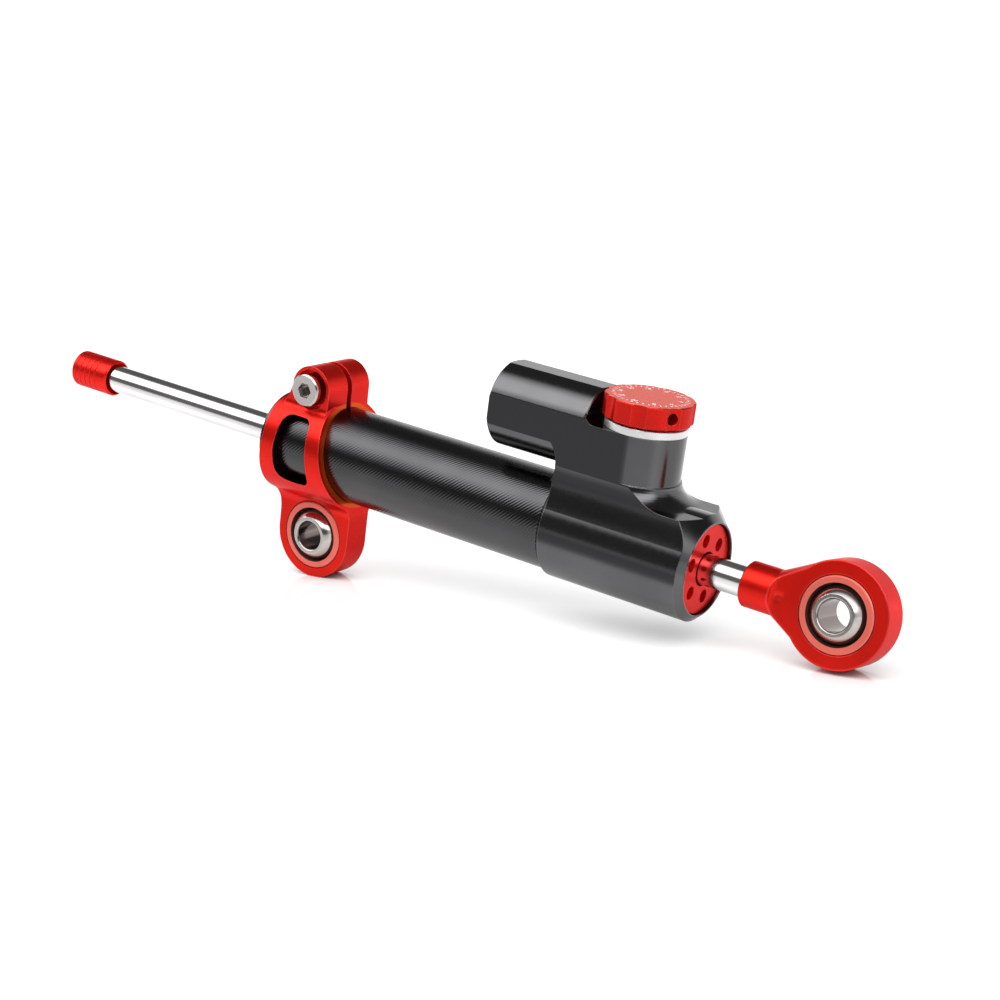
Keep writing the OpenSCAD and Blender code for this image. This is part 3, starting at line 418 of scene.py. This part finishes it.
def tinted(tree, mask, colour, masks=()):
    """Lays a colour over the finish where every mask is 1."""
    for other in masks:
        step = tree.nodes.new("ShaderNodeMath")
        step.operation = "MULTIPLY"
        tree.links.new(mask, step.inputs[0])
        tree.links.new(other, step.inputs[1])
        mask = step.outputs[0]
    shader = tree.nodes["Principled BSDF"]
    under = shader.inputs["Base Color"].links[0].from_socket
    over = tree.nodes.new("ShaderNodeMix")
    over.data_type = "RGBA"
    over.inputs[7].default_value = (*colour, 1.0)
    tree.links.new(mask, over.inputs[0])
    tree.links.new(under, over.inputs[6])
    tree.links.new(over.outputs[2], shader.inputs["Base Color"])


rod_eye = along_axis(joint["rod_eye_swivel"]["pos_m"], joint["rod_eye_swivel"]["axis"])
clamp_eye = along_axis(joint["clamp_eye_swivel"]["pos_m"], joint["clamp_eye_swivel"]["axis"])
race_r = 9.5
line_width = 0.20
line_dark = (0.03, 0.004, 0.003)
eye_red = anodised("eye_red", RED, 0.75, 0.34, RED_RIM, depth=0.005, edge=0.9)
_, radius, _ = lathe_marks(eye_red, rod_eye, 0.4, 0.002)
tree = eye_red.node_tree
tinted(tree, between(tree, radius.outputs["Value"], race_r, race_r + line_width, 0.06), line_dark)
dress(eye_red, "rod_end")

# Clamp
# A red anodised aluminium ring with two windows, split at its ears, over an eye. It slides
# on the tube until its screw pulls the ears together.
across = [(damper.inverted() @ v.co).y / MM for v in node["clamp"].data.vertices]
ring_r = 0.5 * (max(across) - min(across))
window_x = (-9.0, 4.3)
window_z = (-9.2, 10.5)
clamp_red = anodised("clamp_red", RED, 0.75, 0.31, RED_RIM, depth=0.005, edge=0.4)
tree = clamp_red.node_tree
_, radius, _ = lathe_marks(clamp_red, clamp_eye, 0.4, 0.002)
tinted(tree, between(tree, radius.outputs["Value"], race_r, race_r + line_width, 0.06), line_dark)
# The walls of the windows are painted nearly black, as painted shade and a painted reflection of the
# black tube
parts, radius = axis_place(clamp_red, damper)
below_skin = between(tree, radius.outputs["Value"], 0.0, ring_r - 0.35, 0.10)
beside_window = between(tree, parts.outputs["Z"], *window_z, 0.1)
tinted(tree, between(tree, parts.outputs["X"], *window_x, 0.05), (0.006, 0.003, 0.003),
       (below_skin, beside_window))
# The inner half of the ring's front face is painted orange, a painted highlight where the bore's edge
# catches the light
forwards = tree.nodes.new("ShaderNodeVectorMath")
forwards.operation = "DOT_PRODUCT"
forwards.inputs[1].default_value = rod_axis
tree.links.new(tree.nodes["place"].outputs["Normal"], forwards.inputs[0])
front = tree.nodes.new("ShaderNodeMapRange")
front.inputs["From Min"].default_value = 0.60
front.inputs["From Max"].default_value = 0.80
tree.links.new(forwards.outputs["Value"], front.inputs["Value"])
inner_half = between(tree, radius.outputs["Value"], 0.0, ring_r - 1.2, 0.30)
past_window = between(tree, parts.outputs["X"], window_x[1] + 0.1, 20.0, 0.1)
tinted(tree, front.outputs[0], (0.62, 0.075, 0.005), (inner_half, past_window))
dress(clamp_red, "clamp")

# Bearing races
# A salmon-coloured anodised ring in each eye, pressed in flush.
race_open_r = 7.75
for name, eye in (("rod_end_race", rod_eye), ("clamp_race", clamp_eye)):
    race_red = anodised(name, (0.80, 0.16, 0.12), 0.5, 0.38, (1.0, 0.6, 0.55), depth=0.004, edge=0.15)
    tree = race_red.node_tree
    _, radius, _ = lathe_marks(race_red, eye, 0.3, 0.003)
    # Round the ball, inside race_open_r, the race is painted dark: a painted shade in the gap between
    # race and ball
    tinted(tree, between(tree, radius.outputs["Value"], 0.0, race_open_r, 0.1), (0.10, 0.045, 0.035))
    dress(race_red, name)

# Bearing balls
# Polished steel balls with a bore for the mounting bolt. They swivel in the races. Inside
# the bore the balls are coloured darker.
bore_r = 4.15
for name, eye in (("rod_end_ball", rod_eye), ("clamp_ball", clamp_eye)):
    ball_steel = anodised(name, (0.46, 0.43, 0.41), 1.0, 0.14, grain=2500.0, depth=0.002, edge=0.35)
    tree = ball_steel.node_tree
    _, radius = axis_place(ball_steel, eye)
    tinted(tree, between(tree, radius.outputs["Value"], 0.0, bore_r, 0.1), (0.20, 0.16, 0.15))
    dress(ball_steel, name)

# Clamp screw
# A polished steel socket-head screw across the clamp's ears.
screw_steel = anodised("screw_steel", (0.50, 0.47, 0.45), 1.0, 0.14,
                       grain=2500.0, depth=0.001, edge=0.2)
dress(screw_steel, "clamp_screw", "detent_ball")

# Adjuster knob
# A scalloped red anodised knob, held on the spindle by its set screw. Its top has a ring of
# fine ticks with the numbers of the clicks.
knob_centre = Vector(joint["knob_turn"]["pos_m"])
knob_frame = along_axis(knob_centre, column_axis)
knob_red = anodised("knob_red", (0.58, 0.010, 0.005), 0.7, 0.30, RED_RIM, depth=0.005, edge=0.3)
parts, _, _ = lathe_marks(knob_red, knob_frame, 0.3, 0.004)
dress(knob_red, "adjuster_knob")

top_height = max((v.co - knob_centre).dot(column_axis) for v in node["adjuster_knob"].data.vertices)
knob_place = damper.copy()
knob_place.translation = knob_centre + column_axis * top_height
# The faced top is painted paler than the sides, a painted reflection of the bright studio over it
top_x = top_height / MM
tree = knob_red.node_tree
tinted(tree, between(tree, parts.outputs["X"], top_x - 0.05, top_x + 1, 0.1), (0.86, 0.27, 0.22))

# White paint fills the marks in the knob's top
mark_white = bpy.data.materials.new("mark_white")
mark_white.use_nodes = True
tree = mark_white.node_tree
shader = tree.nodes["Principled BSDF"]
shader.inputs["Roughness"].default_value = 0.5
place = tree.nodes.new("ShaderNodeTexCoord")
speck = tree.nodes.new("ShaderNodeTexNoise")
speck.inputs["Scale"].default_value = 3000.0
tree.links.new(place.outputs["Object"], speck.inputs["Vector"])
fill = tree.nodes.new("ShaderNodeValToRGB")
fill.color_ramp.elements[0].position = 0.35
fill.color_ramp.elements[0].color = (0.86, 0.70, 0.67, 1.0)
fill.color_ramp.elements[1].position = 0.60
fill.color_ramp.elements[1].color = (0.95, 0.93, 0.92, 1.0)
tree.links.new(speck.outputs[0], fill.inputs[0])
tree.links.new(fill.outputs[0], shader.inputs["Base Color"])

# The ticks, one for each click and one between, repeat round the knob's top
clicks_per_turn = 20
ticks = bpy.data.node_groups.new("click_ticks", "GeometryNodeTree")
ticks.is_modifier = True
for label, kind in (("Count", "NodeSocketInt"), ("Ring Radius", "NodeSocketFloat"),
                    ("Length", "NodeSocketFloat"), ("Width", "NodeSocketFloat"),
                    ("Height", "NodeSocketFloat"), ("Paint", "NodeSocketMaterial")):
    ticks.interface.new_socket(label, in_out="INPUT", socket_type=kind)
ticks.interface.new_socket("Geometry", in_out="OUTPUT", socket_type="NodeSocketGeometry")
given = ticks.nodes.new("NodeGroupInput")
result = ticks.nodes.new("NodeGroupOutput")
ring = ticks.nodes.new("GeometryNodeMeshCircle")
ticks.links.new(given.outputs["Count"], ring.inputs["Vertices"])
ticks.links.new(given.outputs["Ring Radius"], ring.inputs["Radius"])
size = ticks.nodes.new("ShaderNodeCombineXYZ")
ticks.links.new(given.outputs["Length"], size.inputs["X"])
ticks.links.new(given.outputs["Width"], size.inputs["Y"])
ticks.links.new(given.outputs["Height"], size.inputs["Z"])
tick = ticks.nodes.new("GeometryNodeMeshCube")
ticks.links.new(size.outputs[0], tick.inputs["Size"])
where = ticks.nodes.new("GeometryNodeInputPosition")
face_out = ticks.nodes.new("FunctionNodeAlignEulerToVector")
face_out.axis = "X"
ticks.links.new(where.outputs[0], face_out.inputs["Vector"])
copies = ticks.nodes.new("GeometryNodeInstanceOnPoints")
ticks.links.new(ring.outputs[0], copies.inputs["Points"])
ticks.links.new(tick.outputs[0], copies.inputs["Instance"])
ticks.links.new(face_out.outputs[0], copies.inputs["Rotation"])
real = ticks.nodes.new("GeometryNodeRealizeInstances")
ticks.links.new(copies.outputs[0], real.inputs[0])
paint = ticks.nodes.new("GeometryNodeSetMaterial")
ticks.links.new(real.outputs[0], paint.inputs["Geometry"])
ticks.links.new(given.outputs["Paint"], paint.inputs["Material"])
ticks.links.new(paint.outputs[0], result.inputs[0])

blank = bpy.data.objects.new("blank", bpy.data.meshes.new("blank"))
bpy.context.scene.collection.objects.link(blank)
grown = blank.modifiers.new("ticks", "NODES")
grown.node_group = ticks
tick_sizes = {"Count": 2 * clicks_per_turn, "Ring Radius": 9.35 * MM, "Length": 1.0 * MM,
              "Width": 0.26 * MM, "Height": 0.04 * MM, "Paint": mark_white}
for socket in ticks.interface.items_tree:
    if socket.in_out == "INPUT":
        grown[socket.identifier] = tick_sizes[socket.name]
bpy.context.view_layer.update()
tick_mesh = bpy.data.meshes.new_from_object(blank.evaluated_get(bpy.context.evaluated_depsgraph_get()))
bpy.data.objects.remove(blank)
tick_mesh.transform(knob_place)
click_ticks = bpy.data.objects.new("click_ticks", tick_mesh)
bpy.context.scene.collection.objects.link(click_ticks)
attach(click_ticks, "adjuster")

# The number of every second click is cut into the top and filled with paint
number_size = 1.9 * MM
number_ring_r = 7.7 * MM
for click in range(0, clicks_per_turn, 2):
    words = bpy.data.curves.new("number", "FONT")
    words.body = str(click)
    words.size = number_size
    words.align_x = "CENTER"
    words.align_y = "CENTER"
    words.extrude = 0.02 * MM
    words.offset = 0.04 * MM
    written = bpy.data.objects.new("written", words)
    bpy.context.scene.collection.objects.link(written)
    bpy.context.view_layer.update()
    mesh = bpy.data.meshes.new_from_object(written.evaluated_get(bpy.context.evaluated_depsgraph_get()))
    bpy.data.objects.remove(written)
    turned = Matrix.Rotation(math.radians(90 - 360 / clicks_per_turn * click), 4, "Z")
    stood = Matrix.Translation((number_ring_r, 0.0, 0.0)) @ Matrix.Rotation(math.radians(-90), 4, "Z")
    mesh.transform(knob_place @ turned @ stood)
    mesh.materials.clear()
    mesh.materials.append(mark_white)
    click_number = bpy.data.objects.new(f"click_number_{click}", mesh)
    bpy.context.scene.collection.objects.link(click_number)
    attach(click_number, "adjuster")

# Dial ring
# A plain turned aluminium ring on the column, just under the knob.
ring_silver = anodised("ring_silver", (0.80, 0.81, 0.80), 0.9, 0.42, depth=0.004, edge=0.2)
lathe_marks(ring_silver, knob_frame, 0.25, 0.004)
dress(ring_silver, "dial_ring")

# Reservoir pieces
# The black plug closes the reservoir's end, held by a circlip, with the steel fill screw in
# its middle. The floating piston behind it keeps the gas off the oil.
plug_black = anodised("plug_black", BLACK, 1.0, 0.26, depth=0.004, edge=0.2)
dress(plug_black, "reservoir_plug", "floating_piston")
plain_steel = anodised("plain_steel", (0.52, 0.50, 0.48), 1.0, 0.30, depth=0.003, edge=0.15)
dress(plain_steel, "plug_circlip", "fill_screw", "knob_set_screw", "adjuster_spindle", "spindle_circlip",
      "needle_valve", "detent_spring", "piston_circlips", "inner_liner")

# Rod seals, wipers and O-rings
# Black nitrile rubber rings in their grooves.
seal_rubber = anodised("seal_rubber", (0.022, 0.022, 0.024), 0.0, 0.62,
                       grain=2200.0, depth=0.008, edge=0.1)
dress(seal_rubber, *(n for n in node if n.endswith(("_oring", "_seal", "_wiper"))))

# Bushes and needle seat
# Sintered bronze, pressed into the glands and into the head.
bush_bronze = anodised("bush_bronze", (0.58, 0.38, 0.17), 1.0, 0.36,
                       grain=3000.0, depth=0.006, edge=0.15)
dress(bush_bronze, "front_bush", "rear_bush", "needle_seat")

# Piston
# Turned aluminium on the rod between two circlips, with a plastic ring round it.
piston_bright = anodised("piston_bright", (0.80, 0.80, 0.80), 1.0, 0.30, depth=0.003, edge=0.2)
dress(piston_bright, "piston")
ring_plastic = anodised("ring_plastic", (0.62, 0.60, 0.54), 0.0, 0.5, depth=0.004, edge=0.1)
dress(ring_plastic, "piston_ring")
